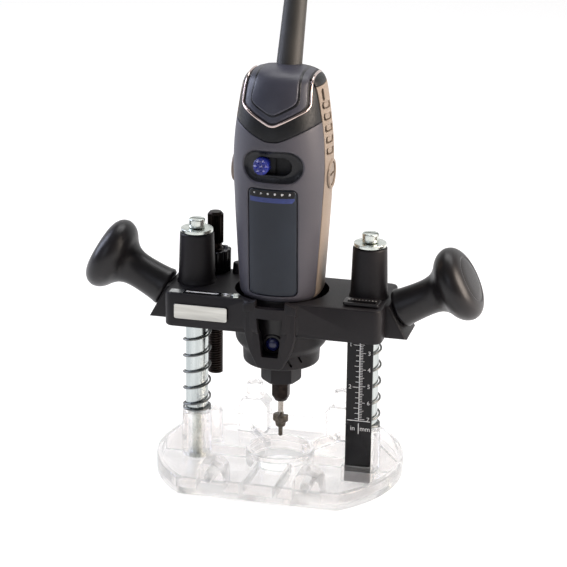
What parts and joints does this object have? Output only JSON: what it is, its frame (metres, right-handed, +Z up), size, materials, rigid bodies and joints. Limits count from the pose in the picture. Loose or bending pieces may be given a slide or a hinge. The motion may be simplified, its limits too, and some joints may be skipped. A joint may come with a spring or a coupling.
{
  "type": "rotary tool in plunge-router stand",
  "caption": "Corded rotary hobby tool clamped in a sprung plunge-router stand: guide columns with coil springs, mushroom handles, depth stop, depth scale and clear base.",
  "frame": {"origin": "on the tool's axis at the underside of the base, which is the middle of the overall outline", "axes": "+Z up along the tool axis, -Y to the front with the switch, X along the arms with the depth scale at +X"},
  "size_m": [0.2304, 0.11, 0.2978],
  "materials": {
    "clear_acrylic": "clear, polished",
    "black_nylon": "glass-filled, fine grain",
    "black_gloss": "gloss",
    "slate_grip": "soft-touch",
    "warm_grey_shell": "fine grain",
    "panel_slate": "satin",
    "bright_chrome": "polished",
    "zinc_plate": "bright zinc plate",
    "spring_steel": "drawn wire",
    "dark_steel": "blackened",
    "tool_steel": "ground",
    "silver_plate": "satin",
    "blue_button": "satin",
    "dark_rubber": "matt",
    "copper": "bright copper",
    "laminations": "stacked sheet steel",
    "carbon": "pressed carbon",
    "circuit_green": "lacquered board",
    "ivory_plastic": "satin",
    "bronze": "sintered bronze"
  },
  "bodies": {
    "stand": {"base_plate": "clear_acrylic", "left_guide_column": "zinc_plate", "right_guide_column": "zinc_plate", "left_column_bolt": "zinc_plate", "right_column_bolt": "zinc_plate", "left_stop_washer": "zinc_plate", "right_stop_washer": "zinc_plate", "left_stop_screw": "zinc_plate", "right_stop_screw": "zinc_plate", "depth_scale": "black_gloss", "left_plunge_spring": "spring_steel", "right_plunge_spring": "spring_steel"},
    "carriage": {"carriage_frame": "black_nylon", "left_guide_bush": "bronze", "right_guide_bush": "bronze", "clamp_nut": "black_nylon", "badge_plate": "silver_plate", "scale_pointer": "black_nylon", "right_handle": "black_nylon", "right_handle_stud": "zinc_plate", "front_housing": "slate_grip", "rear_housing": "warm_grey_shell", "front_panel": "panel_slate", "end_cap": "slate_grip", "trim_strip": "bright_chrome", "end_band": "black_gloss", "strain_relief": "dark_rubber", "switch_module": "ivory_plastic", "circuit_board": "circuit_green", "left_lower_housing_screw": "dark_steel", "right_lower_housing_screw": "dark_steel", "left_upper_housing_screw": "dark_steel", "right_upper_housing_screw": "dark_steel", "left_brush_cap": "black_nylon", "right_brush_cap": "black_nylon", "left_brush_holder": "ivory_plastic", "right_brush_holder": "ivory_plastic", "left_brush": "carbon", "right_brush": "carbon", "motor_field": "laminations", "upper_bearing": "zinc_plate", "lower_bearing": "zinc_plate", "nose_piece": "black_nylon", "lock_button_spring": "spring_steel"},
    "spindle": {"armature": "laminations", "commutator": "copper", "cooling_fan": "ivory_plastic", "collet": "tool_steel", "collet_nut": "dark_steel", "cutter_bit": "tool_steel"},
    "switch": {"switch_slider": "blue_button"},
    "lock_button": {"spindle_lock_button": "blue_button"},
    "stop_rod": {"depth_stop_rod": "dark_steel"},
    "stop_nut": {"depth_stop_nut": "black_gloss"},
    "twist_handle": {"lock_handle": "black_nylon", "lock_stud": "zinc_plate"}
  },
  "joints": [
    {"name": "plunge_slide", "type": "slide", "parent": "stand", "child": "carriage", "axis": [0, 0, 1], "range_m": [-0.0232, 0], "stiffness_N_per_m": 700, "springref_m": 0.04, "deforming": ["left_plunge_spring", "right_plunge_spring"]},
    {"name": "spindle_spin", "type": "hinge", "parent": "carriage", "child": "spindle", "pos_m": [0, 0, 0.1], "axis": [0, 0, 1], "continuous": true},
    {"name": "switch_slide", "type": "slide", "parent": "carriage", "child": "switch", "axis": [1, 0, 0], "range_m": [0, 0.0124]},
    {"name": "lock_button_press", "type": "slide", "parent": "carriage", "child": "lock_button", "axis": [0, 1, 0], "range_m": [0, 0.0026], "stiffness_N_per_m": 400, "springref_m": -0.003, "deforming": ["lock_button_spring"]},
    {"name": "depth_nut_turn", "type": "hinge", "parent": "carriage", "child": "stop_nut", "pos_m": [-0.0454, 0.021, 0.116], "axis": [0, 0, -1], "range_deg": [0, 3605]},
    {"name": "depth_rod_slide", "type": "slide", "parent": "carriage", "child": "stop_rod", "axis": [0, 0, 1], "range_m": [0, 0.015]},
    {"name": "handle_twist", "type": "hinge", "parent": "carriage", "child": "twist_handle", "pos_m": [-0.06817, 0, 0.10378], "axis": [-0.8829, 0, 0.4695], "range_deg": [0, 75]}
  ],
  "couplings": [
    {"joint": "depth_nut_turn", "follows": "depth_rod_slide", "rad_per_m": 4188.8}
  ]
}
